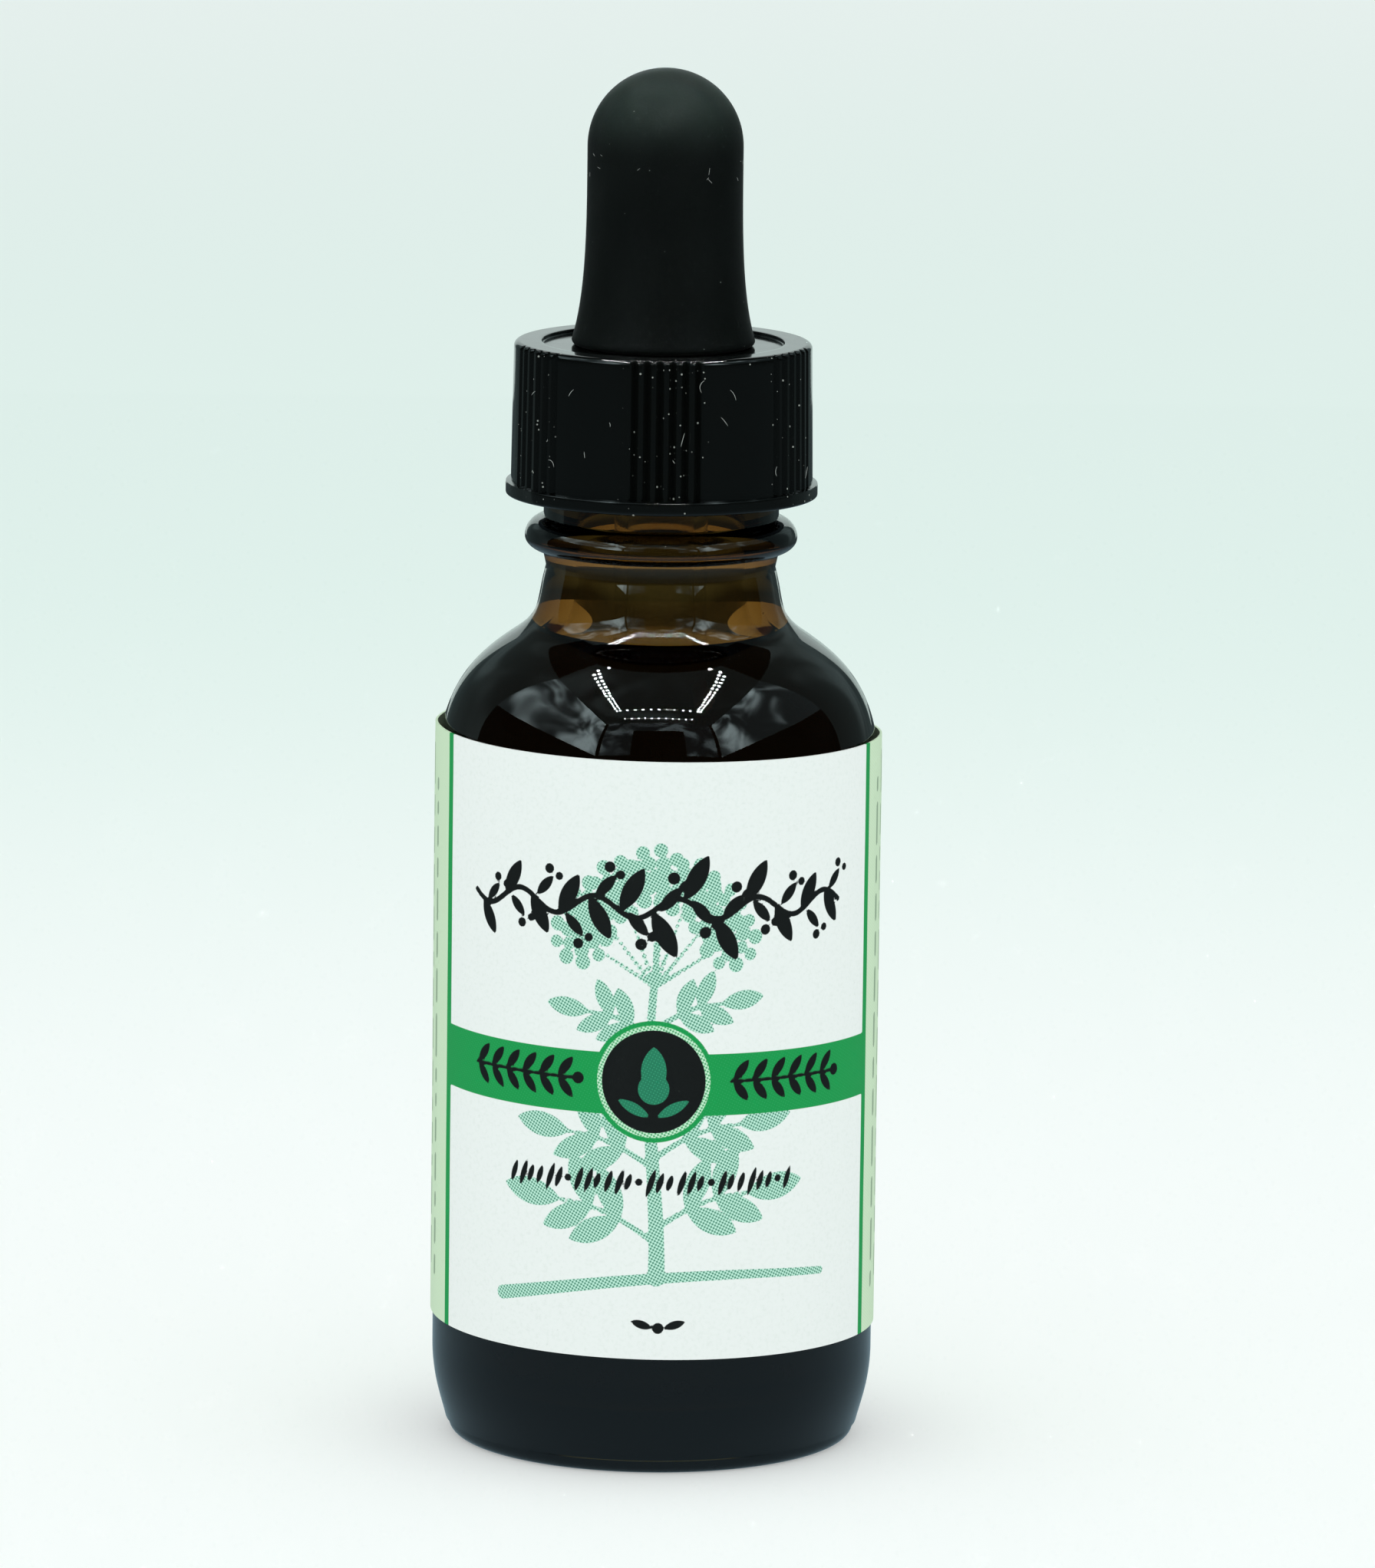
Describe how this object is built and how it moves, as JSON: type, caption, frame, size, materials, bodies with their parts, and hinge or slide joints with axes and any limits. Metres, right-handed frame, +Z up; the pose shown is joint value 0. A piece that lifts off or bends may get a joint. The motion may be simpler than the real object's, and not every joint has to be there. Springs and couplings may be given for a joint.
{
  "type": "amber glass dropper bottle",
  "caption": "Amber glass Boston round bottle of dark tincture with a paper label, a ribbed black screw cap, a rubber bulb and a glass pipette.",
  "frame": {"origin": "centre of the bottle's foot, on the surface that it stands on", "axes": "+Z up along the bottle's axis, -Y out of the middle of the label's front panel, +X to the right as the label is read"},
  "size_m": [0.0332, 0.033, 0.1022],
  "materials": {
    "amber_glass": "gloss",
    "label_paper": "matte",
    "tincture": "gloss",
    "black_phenolic": "gloss",
    "black_rubber": "matte",
    "clear_glass": "gloss"
  },
  "bodies": {
    "bottle": {"glass_bottle": "amber_glass", "label": "label_paper", "tincture": "tincture"},
    "dropper": {"rubber_bulb": "black_rubber", "glass_pipette": "clear_glass"},
    "cap": {"screw_cap": "black_phenolic"}
  },
  "joints": [
    {"name": "dropper_lift", "type": "slide", "parent": "bottle", "child": "dropper", "axis": [0, 0, 1], "range_m": [0, 0.0036]},
    {"name": "cap_turn", "type": "hinge", "parent": "dropper", "child": "cap", "pos_m": [0, 0, 0.0761], "axis": [0, 0, 1], "range_deg": [0, 400]}
  ],
  "couplings": [
    {"joint": "dropper_lift", "follows": "cap_turn", "m_per_rad": 0.00050532}
  ]
}
